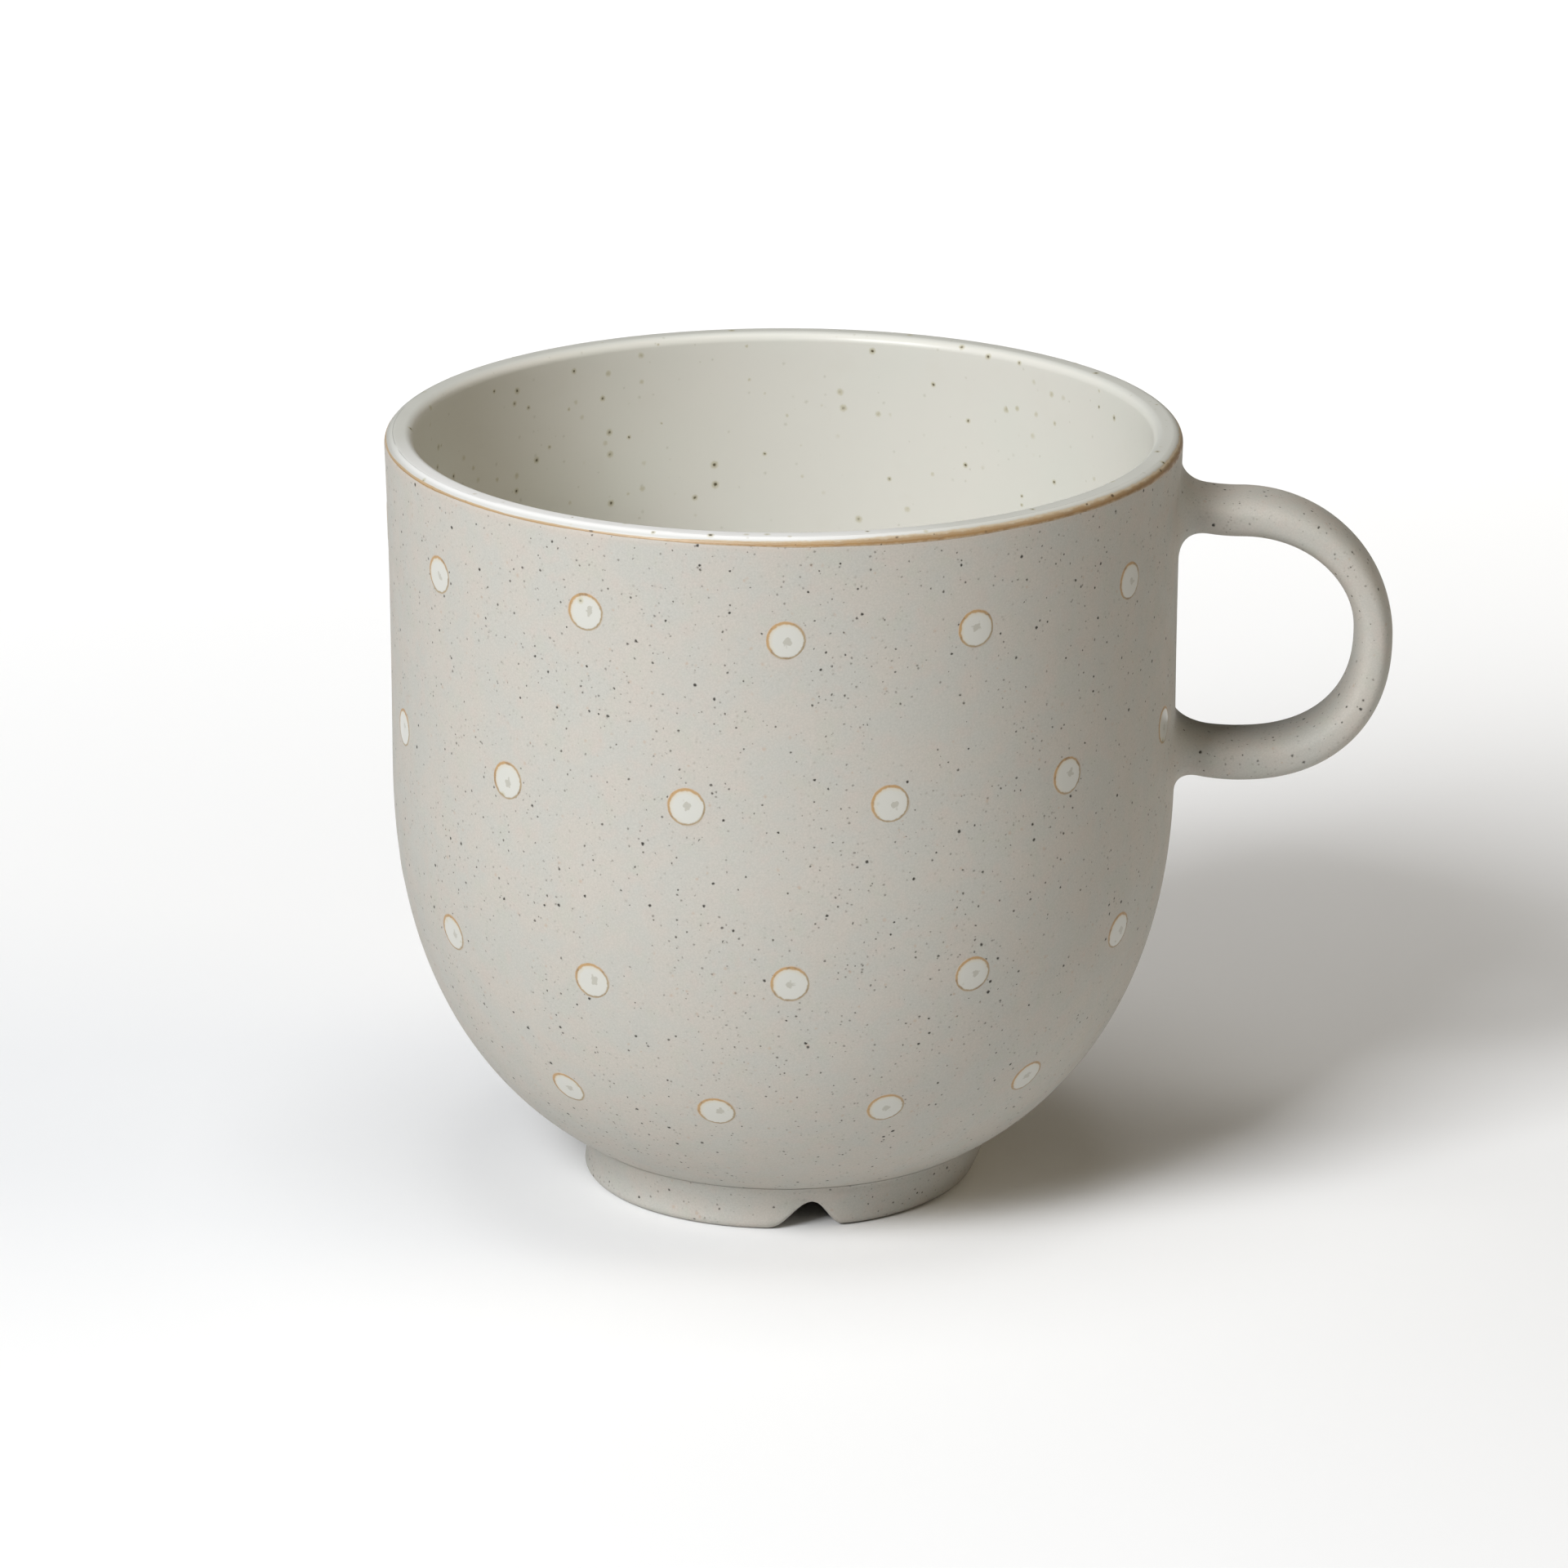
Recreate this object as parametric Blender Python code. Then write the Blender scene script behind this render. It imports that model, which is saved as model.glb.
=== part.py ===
"""Stoneware mug: a turned cup on a notched foot ring, with a pulled handle and glaze dots.

Units are metres, +Z up.  The origin is the middle of the bottom of the whole object's box, so
the cup's own axis stands at AXIS_X, to the -X side, and the handle points to +X.  Azimuths are
measured about the cup's axis from -Y, the front, towards +X, the handle.
"""
import math

import bmesh
import bpy
from mathutils import Vector

MM = 0.001

# Cup: outer wall
RIM_RADIUS = 45.05 * MM
WALL_RADIUS = 44.6 * MM         # at the shoulder
HEIGHT = 88.15 * MM             # table to the top of the lip
SHOULDER_Z = 50.0 * MM          # the wall opens slightly above it, and curves in below
OPENING_POWER = 3.0             # how late the wall opens towards the rim
BELLY_POWER = 2.31              # superellipse exponent of the curved belly
CREASE_Z = 5.35 * MM            # where the belly meets the foot ring

# Cup: lip, wall and inside
LIP_WIDTH = 3.3 * MM            # outer wall to inner wall
LIP_OUTER_ROUND = 1.25 * MM
LIP_INNER_ROUND = 0.75 * MM
GLAZE_THICKNESS = 0.37 * MM
FIT = 0.08 * MM                 # between surfaces turned about the same axis
INSIDE_FLOOR_Z = 9.25 * MM      # lowest point of the glazed inside
INSIDE_POWER = 2.8

# Toasted edge: a band along the lip's outer round, as angles up from where the round starts
EDGE_START = math.radians(11)
EDGE_END = math.radians(36)

# Foot ring
FOOT_TOP_RADIUS = 23.5 * MM
FOOT_RADIUS = 23.0 * MM
FOOT_INNER_RADIUS = 18.4 * MM
FOOT_ROUND = 1.0 * MM
JOINT_GAP = 0.3 * MM            # between the ring and the cup, and the handle and the cup
NOTCH_COUNT = 3
NOTCH_RADIUS = 2.7 * MM
NOTCH_CENTER_Z = 0.7 * MM
NOTCH_AZIMUTH = math.radians(7.8)

# Handle, measured from the cup's axis
HANDLE_REACH = 69.15 * MM       # outermost point
ARC_CENTER_X = 51.8 * MM        # the two arms are straight inside it
ARC_CENTER_Z = 64.1 * MM
ARC_HEIGHT = 14.35 * MM         # half the distance between the arms' middles
UPPER_BOW = 2.0                 # superellipse exponents of the bow's upper and lower half
LOWER_BOW = 2.3
HANDLE_HALF_WIDTH = 5.2 * MM
BOW_HALF_THICKNESS = 2.15 * MM
TOP_HALF_THICKNESS = 2.4 * MM   # of the upper arm
LOW_HALF_THICKNESS = 2.55 * MM  # of the lower arm
SECTION_POWER = 2.7             # superellipse exponent of the strap's section
ROOT_FLARE = 2.6 * MM           # how far each root spreads on the wall
ROOT_RISE = 1.1 * MM            # the arms climb this much towards the wall

# Glaze dots, set by hand: azimuth in degrees and height of those in front, row by row,
# then the first azimuth, spacing and number of those that carry the row on behind
DOT_ROWS = (
    (((58.8, 77.0), (27.9, 76.4), (0.3, 76.6), (-28.8, 78.2), (-58.3, 77.8)), (-87.5, 29.2, 6)),
    (
        ((73.5, 57.0), (44.6, 57.1), (15.1, 57.5), (-13.8, 57.2), (-43.1, 56.8), (-73.1, 56.8)),
        (-102.2, 29.1, 6),
    ),
    (((59.6, 35.8), (28.6, 36.2), (0.9, 36.9), (-29.2, 35.3), (-58.4, 35.8)), (-88.0, 29.6, 7)),
    (((45.7, 20.1), (17.4, 19.8), (-11.4, 19.7), (-39.6, 19.7)), (-85.0, 31.3, 7)),
)
DOT_WANDER = 0.6 * MM           # how far the dots behind stray up and down
DOT_RADIUS = 2.25 * MM
DOT_GAP = 0.05 * MM
DOT_EDGE = 0.08 * MM            # thickness at the dot's edge
DOT_DOME = 0.18 * MM            # thickness at its middle
DOT_SHOULDER = 0.72             # share of the radius where the dome turns down to the edge
DOT_SHOULDER_DOME = 0.85        # share of the thickness left there

AXIS_X = (RIM_RADIUS - HANDLE_REACH) / 2

SEGMENTS = 60                   # facets round every turned piece
BELLY_STEPS = 11
WALL_STEPS = 4
LIP_STEPS = 4
DOT_SEGMENTS = 12
NOTCH_SEGMENTS = 24
SECTION_POINTS = 16
ARM_STEPS = 7
ARM_CROWDING = 1.5              # sections crowd towards the wall by this power
ARC_STEPS = 18
MERGE = 1e-7

STONE = ("stoneware", (0.62, 0.59, 0.54), 0.85)
GLAZE = ("glaze", (0.80, 0.80, 0.74), 0.18)
TOASTED = ("toasted_edge", (0.45, 0.27, 0.12), 0.55)


def clear_scene():
    for obj in list(bpy.data.objects):
        bpy.data.objects.remove(obj, do_unlink=True)


def make_material(name, colour, roughness):
    material = bpy.data.materials.new(name)
    material.use_nodes = True
    shader = material.node_tree.nodes["Principled BSDF"]
    shader.inputs["Base Color"].default_value = (*colour, 1.0)
    shader.inputs["Roughness"].default_value = roughness
    shader.inputs["Metallic"].default_value = 0.0
    return material


def add_object(name, bm, finish, parent):
    """Makes one named, smooth-shaded object with its own material, standing on the cup's axis."""
    bmesh.ops.recalc_face_normals(bm, faces=bm.faces)
    mesh = bpy.data.meshes.new(name)
    bm.to_mesh(mesh)
    bm.free()
    mesh.shade_smooth()
    mesh.set_sharp_from_angle(angle=math.radians(40))
    kind, colour, roughness = finish
    mesh.materials.append(make_material(name + "_" + kind, colour, roughness))
    obj = bpy.data.objects.new(name, mesh)
    obj.parent = parent
    bpy.context.collection.objects.link(obj)
    return obj


def add_cutter(name, bm, parent):
    mesh = bpy.data.meshes.new(name)
    bmesh.ops.recalc_face_normals(bm, faces=bm.faces)
    bm.to_mesh(mesh)
    bm.free()
    cutter = bpy.data.objects.new(name, mesh)
    cutter.parent = parent
    cutter.hide_render = True
    cutter.display_type = "WIRE"
    bpy.context.collection.objects.link(cutter)
    return cutter


def cut(obj, cutter):
    boolean = obj.modifiers.new(cutter.name, "BOOLEAN")
    boolean.operation = "DIFFERENCE"
    boolean.solver = "EXACT"
    boolean.object = cutter


def outer_radius(z):
    """Radius of the outer wall at height z, up to where the lip's round starts."""
    if z >= SHOULDER_Z:
        share = (z - SHOULDER_Z) / (HEIGHT - LIP_OUTER_ROUND - SHOULDER_Z)
        return WALL_RADIUS + (RIM_RADIUS - WALL_RADIUS) * min(1.0, share) ** OPENING_POWER
    depth = (SHOULDER_Z - z) / SHOULDER_Z
    return WALL_RADIUS * (1.0 - depth ** BELLY_POWER) ** (1.0 / BELLY_POWER)


def outer_normal(z):
    """Outward normal of the outer wall at height z, as (radial, vertical)."""
    step = 0.01 * MM
    slope = (outer_radius(z + step) - outer_radius(z - step)) / (2 * step)
    length = math.hypot(1.0, slope)
    return 1.0 / length, -slope / length


def outer_points(start_z, gap):
    """Outer wall from start_z up to the lip's round, this gap off the clay, as (radius, height)."""
    start = math.acos((SHOULDER_Z - start_z) / SHOULDER_Z)
    angles = [start + (math.pi / 2 - start) * step / BELLY_STEPS for step in range(BELLY_STEPS + 1)]
    heights = [SHOULDER_Z * (1.0 - math.cos(angle)) for angle in angles]
    wall = HEIGHT - LIP_OUTER_ROUND - SHOULDER_Z
    heights += [SHOULDER_Z + wall * step / WALL_STEPS for step in range(1, WALL_STEPS + 1)]
    return [(outer_radius(z) + gap, z) for z in heights]


def bowl_points(radius, bottom_z):
    """Inside of the cup from the shoulder down to the axis, as (radius, height)."""
    depth = SHOULDER_Z - bottom_z
    points = []
    for step in range(BELLY_STEPS + 1):
        angle = math.pi / 2 * step / BELLY_STEPS
        r = radius * math.cos(angle) ** (2.0 / INSIDE_POWER)
        z = SHOULDER_Z - depth * math.sin(angle) ** (2.0 / INSIDE_POWER)
        points.append((r if step < BELLY_STEPS else 0.0, z))
    return points


def arc_points(center, radius, start, end, steps):
    points = []
    for step in range(steps + 1):
        angle = start + (end - start) * step / steps
        points.append((center[0] + radius * math.cos(angle), center[1] + radius * math.sin(angle)))
    return points


def revolve(profile, closed):
    """Spins a (radius, height) outline about Z.  A closed outline makes a ring."""
    bm = bmesh.new()
    verts = [bm.verts.new((r, 0.0, z)) for r, z in profile]
    edges = [bm.edges.new(pair) for pair in zip(verts, verts[1:])]
    if closed:
        edges.append(bm.edges.new((verts[-1], verts[0])))
    bmesh.ops.spin(
        bm,
        geom=verts + edges,
        axis=(0, 0, 1),
        cent=(0, 0, 0),
        angle=2 * math.pi,
        steps=SEGMENTS,
        use_duplicate=False,
    )
    bmesh.ops.remove_doubles(bm, verts=bm.verts, dist=MERGE)
    bmesh.ops.dissolve_degenerate(bm, dist=MERGE, edges=bm.edges)
    return bm


def lip_outer_arc(inset, start, end, steps):
    """Stretch of the lip's outer round, this far under its surface."""
    center = (RIM_RADIUS - LIP_OUTER_ROUND, HEIGHT - LIP_OUTER_ROUND)
    return arc_points(center, LIP_OUTER_ROUND - inset, start, end, steps)


def lip_and_inside(inset, start):
    """From an angle on the lip's outer round, over the lip and down to the middle of the floor."""
    center = (RIM_RADIUS - LIP_WIDTH + LIP_INNER_ROUND, HEIGHT - LIP_INNER_ROUND)
    points = lip_outer_arc(inset, start, math.pi / 2, LIP_STEPS)
    points += arc_points(center, LIP_INNER_ROUND - inset, math.pi / 2, math.pi, LIP_STEPS)
    return points + bowl_points(RIM_RADIUS - LIP_WIDTH + inset, INSIDE_FLOOR_Z - inset)


def build_body(axis):
    """Unglazed stoneware cup, rebated at the lip for the glaze and the toasted edge."""
    rebate = EDGE_START - FIT / LIP_OUTER_ROUND
    profile = [(0.0, CREASE_Z)]
    profile += outer_points(CREASE_Z, 0.0)[:-1]
    profile += lip_outer_arc(0.0, 0.0, rebate, 1)
    profile += lip_and_inside(GLAZE_THICKNESS + FIT, rebate)
    return add_object("mug_body", revolve(profile, closed=False), STONE, axis)


def build_interior_glaze(axis):
    """Glaze coat over the whole inside and the lip, ending at the toasted edge."""
    start = EDGE_END + FIT / LIP_OUTER_ROUND
    profile = lip_and_inside(0.0, start)[::-1]
    profile += lip_and_inside(GLAZE_THICKNESS, start)
    return add_object("interior_glaze", revolve(profile, closed=False), GLAZE, axis)


def build_rim_edge(axis):
    """Toasted band along the outer round of the lip."""
    profile = lip_outer_arc(0.0, EDGE_START, EDGE_END, 2)
    profile += lip_outer_arc(GLAZE_THICKNESS, EDGE_START, EDGE_END, 2)[::-1]
    return add_object("rim_edge_band", revolve(profile, closed=True), TOASTED, axis)


def build_foot_ring(axis):
    """Ring that the mug stands on, with rounded drain notches cut through it."""
    top = CREASE_Z - JOINT_GAP
    profile = [(FOOT_INNER_RADIUS, top), (FOOT_INNER_RADIUS, FOOT_ROUND / 2)]
    profile += [(FOOT_INNER_RADIUS + FOOT_ROUND / 2, 0.0)]
    profile += arc_points((FOOT_RADIUS - FOOT_ROUND, FOOT_ROUND), FOOT_ROUND, -math.pi / 2, 0.0, 3)
    profile += [(FOOT_TOP_RADIUS, top)]
    ring = add_object("foot_ring", revolve(profile, closed=True), STONE, axis)
    for index in range(NOTCH_COUNT):
        cutter = build_notch_cutter(axis, NOTCH_AZIMUTH + 2 * math.pi * index / NOTCH_COUNT, index)
        cut(ring, cutter)
    return ring


def build_notch_cutter(axis, azimuth, index):
    """Round bar lying across the ring's wall, its middle just above the table."""
    bm = bmesh.new()
    length = 2 * (FOOT_TOP_RADIUS - FOOT_INNER_RADIUS)
    bmesh.ops.create_cone(
        bm,
        cap_ends=True,
        segments=NOTCH_SEGMENTS,
        radius1=NOTCH_RADIUS,
        radius2=NOTCH_RADIUS,
        depth=length,
    )
    cutter = add_cutter("notch_cutter_%d" % (index + 1), bm, axis)
    middle = (FOOT_TOP_RADIUS + FOOT_INNER_RADIUS) / 2
    cutter.location = (middle * math.sin(azimuth), -middle * math.cos(azimuth), NOTCH_CENTER_Z)
    cutter.rotation_euler = (math.pi / 2, 0.0, azimuth)
    return cutter


def signed_power(value, power):
    return math.copysign(abs(value) ** power, value)


def handle_path():
    """Middle line of the strap as (x, z, inward x, inward z), upper root to lower root."""
    start_x = WALL_RADIUS - 2 * JOINT_GAP
    arc_width = HANDLE_REACH - ARC_CENTER_X - BOW_HALF_THICKNESS
    arm = []
    for step in range(ARM_STEPS):
        share = (step / ARM_STEPS) ** ARM_CROWDING
        x = start_x + (ARC_CENTER_X - start_x) * share
        arm.append((x, ROOT_RISE * (1.0 - share) ** 2))
    path = [(x, ARC_CENTER_Z + ARC_HEIGHT + rise, 0.0, -1.0) for x, rise in arm]
    for step in range(ARC_STEPS + 1):
        angle = math.pi / 2 - math.pi * step / ARC_STEPS
        bow = UPPER_BOW if angle > 0.0 else LOWER_BOW
        out = max(0.0, math.cos(angle)) ** (2.0 / bow)
        up = signed_power(math.sin(angle), 2.0 / bow)
        normal = Vector((out ** (bow - 1.0) / arc_width, signed_power(up, bow - 1.0) / ARC_HEIGHT))
        inward = -normal.normalized()
        x = ARC_CENTER_X + arc_width * out
        path.append((x, ARC_CENTER_Z + ARC_HEIGHT * up, inward.x, inward.y))
    path += [(x, ARC_CENTER_Z - ARC_HEIGHT + rise, 0.0, 1.0) for x, rise in reversed(arm)]
    return path


def half_thickness(z):
    """The strap is thinnest at the middle of its bow and thicker in both arms."""
    share = min(1.0, abs(z - ARC_CENTER_Z) / ARC_HEIGHT)
    arm = TOP_HALF_THICKNESS if z > ARC_CENTER_Z else LOW_HALF_THICKNESS
    return BOW_HALF_THICKNESS + (arm - BOW_HALF_THICKNESS) * share ** 3


def flare(distance):
    """Extra half size of the strap at this distance from the wall: a quarter round."""
    share = min(1.0, max(0.0, 1.0 - distance / ROOT_FLARE))
    return ROOT_FLARE * (1.0 - math.sqrt(1.0 - share * share))


def build_handle(axis):
    """Strap handle lofted along its path, its two roots cut to the cup's wall."""
    bm = bmesh.new()
    rings = []
    for x, z, inward_x, inward_z in handle_path():
        spread = flare(x - WALL_RADIUS) if x < ARC_CENTER_X else 0.0
        ring = []
        for point in range(SECTION_POINTS):
            angle = 2 * math.pi * point / SECTION_POINTS
            across = (HANDLE_HALF_WIDTH + spread) * signed_power(math.cos(angle), 2.0 / SECTION_POWER)
            inward = (half_thickness(z) + spread) * signed_power(math.sin(angle), 2.0 / SECTION_POWER)
            ring.append(bm.verts.new((x + inward * inward_x, across, z + inward * inward_z)))
        rings.append(ring)
    for first, second in zip(rings, rings[1:]):
        for point in range(SECTION_POINTS):
            after = (point + 1) % SECTION_POINTS
            bm.faces.new((first[point], first[after], second[after], second[point]))
    bm.faces.new(rings[0])
    bm.faces.new(rings[-1])
    handle = add_object("handle", bm, STONE, axis)
    cut(handle, build_wall_cutter(axis))
    return handle


def build_wall_cutter(axis):
    """The cup's outer shape, a joint gap larger, which trims the handle's roots."""
    profile = [(0.0, CREASE_Z)] + outer_points(CREASE_Z, JOINT_GAP) + [(0.0, HEIGHT)]
    return add_cutter("wall_cutter", revolve(profile, closed=False), axis)


def on_wall(azimuth, z, along, up, offset):
    """Point on the outer wall, moved by (along, up) over the surface and offset out of it."""
    radial, vertical = outer_normal(z)
    high = z + up * radial
    radius = outer_radius(high)
    turned = azimuth + along / radius
    out, rise = outer_normal(high)
    reach = radius + offset * out
    return Vector((reach * math.sin(turned), -reach * math.cos(turned), high + offset * rise))


def dot_ring(bm, azimuth, z, radius, offset):
    ring = []
    for point in range(DOT_SEGMENTS):
        angle = 2 * math.pi * point / DOT_SEGMENTS
        place = on_wall(azimuth, z, radius * math.cos(angle), radius * math.sin(angle), offset)
        ring.append(bm.verts.new(place))
    return ring


def bridge(bm, first, second):
    for point in range(DOT_SEGMENTS):
        after = (point + 1) % DOT_SEGMENTS
        bm.faces.new((first[point], first[after], second[after], second[point]))


def fan(bm, ring, middle):
    for point in range(DOT_SEGMENTS):
        after = (point + 1) % DOT_SEGMENTS
        bm.faces.new((ring[point], ring[after], middle))


def build_dot(name, azimuth, z, axis):
    """One low dome of glaze that follows the wall under it."""
    bm = bmesh.new()
    under_middle = bm.verts.new(on_wall(azimuth, z, 0.0, 0.0, DOT_GAP))
    under = dot_ring(bm, azimuth, z, DOT_RADIUS, DOT_GAP)
    edge = dot_ring(bm, azimuth, z, DOT_RADIUS, DOT_GAP + DOT_EDGE)
    shoulder_rise = DOT_GAP + DOT_DOME * DOT_SHOULDER_DOME
    shoulder = dot_ring(bm, azimuth, z, DOT_RADIUS * DOT_SHOULDER, shoulder_rise)
    top = bm.verts.new(on_wall(azimuth, z, 0.0, 0.0, DOT_GAP + DOT_DOME))
    fan(bm, under, under_middle)
    bridge(bm, under, edge)
    bridge(bm, edge, shoulder)
    fan(bm, shoulder, top)
    return add_object(name, bm, GLAZE, axis)


def row_places(front, behind):
    """Azimuth and height of every dot in a row: those set by hand, then those behind."""
    places = [(math.radians(azimuth), height * MM) for azimuth, height in front]
    level = sum(z for azimuth, z in places) / len(places)
    first, spacing, count = behind
    for index in range(count):
        azimuth = math.radians(first - spacing * index)
        places.append((azimuth, level + DOT_WANDER * math.sin(3 * azimuth)))
    return places


def build_dots(axis):
    for row, (front, behind) in enumerate(DOT_ROWS, 1):
        for number, (azimuth, z) in enumerate(row_places(front, behind), 1):
            build_dot("glaze_dot_row%d_%02d" % (row, number), azimuth, z, axis)


def main():
    clear_scene()
    axis = bpy.data.objects.new("cup_axis", None)
    axis.location = (AXIS_X, 0.0, 0.0)
    bpy.context.collection.objects.link(axis)
    build_body(axis)
    build_foot_ring(axis)
    build_handle(axis)
    build_interior_glaze(axis)
    build_rim_edge(axis)
    build_dots(axis)


main()
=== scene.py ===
"""Looks of the speckled stoneware mug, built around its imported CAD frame.

Everything is in metres.  Azimuths are measured about the cup's own axis from -Y, the front,
towards +X, the handle.
"""
import math

import bpy
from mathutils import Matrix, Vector


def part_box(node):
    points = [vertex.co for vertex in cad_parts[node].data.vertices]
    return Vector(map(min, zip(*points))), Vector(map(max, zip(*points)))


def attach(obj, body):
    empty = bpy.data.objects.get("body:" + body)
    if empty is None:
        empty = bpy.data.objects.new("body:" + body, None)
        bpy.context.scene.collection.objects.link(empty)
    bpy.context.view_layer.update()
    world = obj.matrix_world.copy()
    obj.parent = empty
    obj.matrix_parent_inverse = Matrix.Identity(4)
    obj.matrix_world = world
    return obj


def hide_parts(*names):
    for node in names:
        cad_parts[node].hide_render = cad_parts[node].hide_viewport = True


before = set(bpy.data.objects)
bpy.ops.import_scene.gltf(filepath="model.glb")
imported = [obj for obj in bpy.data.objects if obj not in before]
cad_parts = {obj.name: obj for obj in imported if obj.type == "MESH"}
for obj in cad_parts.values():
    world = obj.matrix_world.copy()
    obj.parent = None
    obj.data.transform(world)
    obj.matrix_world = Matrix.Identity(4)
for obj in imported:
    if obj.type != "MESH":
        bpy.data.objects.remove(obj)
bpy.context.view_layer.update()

MM = 0.001
BODY = "root"

# Main sizes, read from the frame
CUP_LOW, CUP_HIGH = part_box("mug_body")
GLAZE_LOW, GLAZE_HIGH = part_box("interior_glaze")
FOOT_LOW, FOOT_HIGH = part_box("foot_ring")
HANDLE_LOW, HANDLE_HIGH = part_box("handle")
AXIS_X = (CUP_LOW[0] + CUP_HIGH[0]) / 2
RIM_RADIUS = (CUP_HIGH[0] - CUP_LOW[0]) / 2
HEIGHT = GLAZE_HIGH[2]
CREASE_Z = CUP_LOW[2]
FOOT_TOP_RADIUS = (FOOT_HIGH[0] - FOOT_LOW[0]) / 2
HANDLE_REACH = HANDLE_HIGH[0] - AXIS_X

# Cup, as in the CAD model but for the lip's inner round, which the glaze softens
WALL_RADIUS = 44.6 * MM         # at the shoulder
SHOULDER_Z = 50.0 * MM          # the wall opens slightly above it, and curves in below
OPENING_POWER = 3.0             # how late the wall opens towards the rim
BELLY_POWER = 2.31              # superellipse exponent of the curved belly
GLAZE_THICKNESS = 0.37 * MM
SKIN_GAP = 0.08 * MM            # between the glaze's back and the clay
INSIDE_FLOOR_Z = GLAZE_LOW[2] + GLAZE_THICKNESS
INSIDE_POWER = 2.8
LIP_WIDTH = 3.3 * MM            # outer wall to inner wall
LIP_OUTER_ROUND = 1.25 * MM
LIP_INNER_ROUND = 1.10 * MM
OUTER_CENTER = (RIM_RADIUS - LIP_OUTER_ROUND, HEIGHT - LIP_OUTER_ROUND)
INNER_CENTER = (RIM_RADIUS - LIP_WIDTH + LIP_INNER_ROUND, HEIGHT - LIP_INNER_ROUND)
CLAY_TUCK = math.radians(8)     # where on the lip's round the clay turns in under the glaze
GLAZE_STOP = math.radians(20)   # where on it the glaze would end, before it follows the line
PAINTED_LIGHT_AZIMUTH = math.radians(-30)        # painted light: the lip's colour is lightest about here, toward the key light
TRIM_HEIGHT = 0.06 * MM         # of the faint trimming rings on the turned underside
TRIM_PITCH = 1.9 * MM

# Toasted line along the lip's outer round.  Waves are: count, size, phase
EDGE_MIDDLE = HEIGHT - 0.67 * MM
EDGE_DROP = 0.09 * MM           # how much lower it runs where it is broad
EDGE_HALF_THIN = 0.13 * MM
EDGE_HALF_BROAD = 0.40 * MM
EDGE_WANDER = ((3, 0.02 * MM, 0.4), (7, 0.015 * MM, 2.1), (17, 0.015 * MM, 4.0))
EDGE_SWELL = ((5, 0.02 * MM, 1.1), (13, 0.015 * MM, 3.3), (29, 0.015 * MM, 0.6))
EDGE_PROUD = 0.02 * MM
WARM_REACH_THIN = 0.06 * MM     # how far its warm tint reaches into the glaze above it
WARM_REACH_BROAD = 0.22 * MM

# Foot ring
FOOT_RADIUS = 23.1 * MM
FOOT_INNER_RADIUS = 18.4 * MM
FOOT_ROUND = 1.1 * MM
FOOT_LEAN = 1.4 * MM            # how much the ring is trimmed in at its base on the handle side
FOOT_WAIST = 0.4 * MM           # how much it is drawn in at mid height on the other side
NOTCH_COUNT = 3
NOTCH_HEIGHT = 3.2 * MM
NOTCH_AZIMUTH = math.radians(8.2)
NOTCH_STEEP_SIDE = (3.8 * MM, 1.0)      # reach and power of the shoulder towards the handle
NOTCH_GENTLE_SIDE = (5.6 * MM, 1.35)
NOTCH_WORN = 0.4 * MM           # soft wear of the resting edge beside the steep shoulder
NOTCH_WORN_REACH = 8.0 * MM

# Handle, measured from the cup's axis
ARC_CENTER_X = 51.8 * MM        # the two arms are straight inside it
ARC_CENTER_Z = 64.1 * MM
ARC_HEIGHT = 14.35 * MM         # half the distance between the arms' middles
UPPER_BOW = 2.0                 # superellipse exponents of the bow's upper and lower half
LOWER_BOW = 2.3
HANDLE_HALF_WIDTH = 5.2 * MM
BOW_HALF_THICKNESS = 2.15 * MM
TOP_HALF_THICKNESS = 2.4 * MM   # of the upper arm
LOW_HALF_THICKNESS = 2.55 * MM  # of the lower arm
SECTION_POWER = 2.7             # superellipse exponent of the strap's section
ROOT_RISE = 1.1 * MM            # the arms climb this much towards the wall
ROOT_DEPTH = 0.15 * MM          # how far each root reaches into the wall
ROOT_FIT = 6.0 * MM             # within this of the wall the strap takes on its curve
# How far each root spreads on the wall and along the arm: outer side, inner side, both flanks
UPPER_ROOT = {"outer": (2.9 * MM, 3.2 * MM), "inner": (4.1 * MM, 3.4 * MM), "flank": (3.0 * MM, 4.0 * MM)}
LOWER_ROOT = {"outer": (2.7 * MM, 2.1 * MM), "inner": (1.9 * MM, 4.6 * MM), "flank": (2.6 * MM, 4.0 * MM)}
ROOT_POWER = 2.3

# Glaze dots
DOT_RADIUS = 2.25 * MM
DOT_DOME = 0.07 * MM            # height of the glaze at its middle
DOT_SINK = 0.01 * MM            # its edge lies this far under the clay's surface
DOT_DEPTH = 0.12 * MM           # its underside lies this far under it
DOT_UNDERCUT = 0.97             # share of the radius at the underside
DOT_RING_RADIUS = 2.13 * MM     # outer edge of a dot's burnt ring; clay shows outside it

# Fineness of the meshes
LATHE_SEGMENTS = 256
BELLY_STEPS = 70
WALL_STEPS = 40
UNDERSIDE_STEPS = 60
BOWL_STEPS = 70
BOWL_BACK_STEPS = 30            # on the glaze's hidden side
INNER_WALL_STEPS = 24
LIP_STEPS = 32
LIP_BACK_STEPS = 12
EDGE_STEPS = 10
ARM_STEPS = 46
ARC_STEPS = 96
SECTION_POINTS = 64
DOT_SEGMENTS = 48
DOT_RINGS = 9


# ---------------------------------------------------------------- small helpers

def wave(azimuth, terms):
    """Sum of whole-number waves round the cup: a hand's slow wander that closes on itself."""
    return sum(size * math.sin(count * azimuth + phase) for count, size, phase in terms)


def signed_power(value, power):
    return math.copysign(abs(value) ** power, value)


def place(radius, azimuth, z):
    return (AXIS_X + radius * math.sin(azimuth), -radius * math.cos(azimuth), z)


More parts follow.
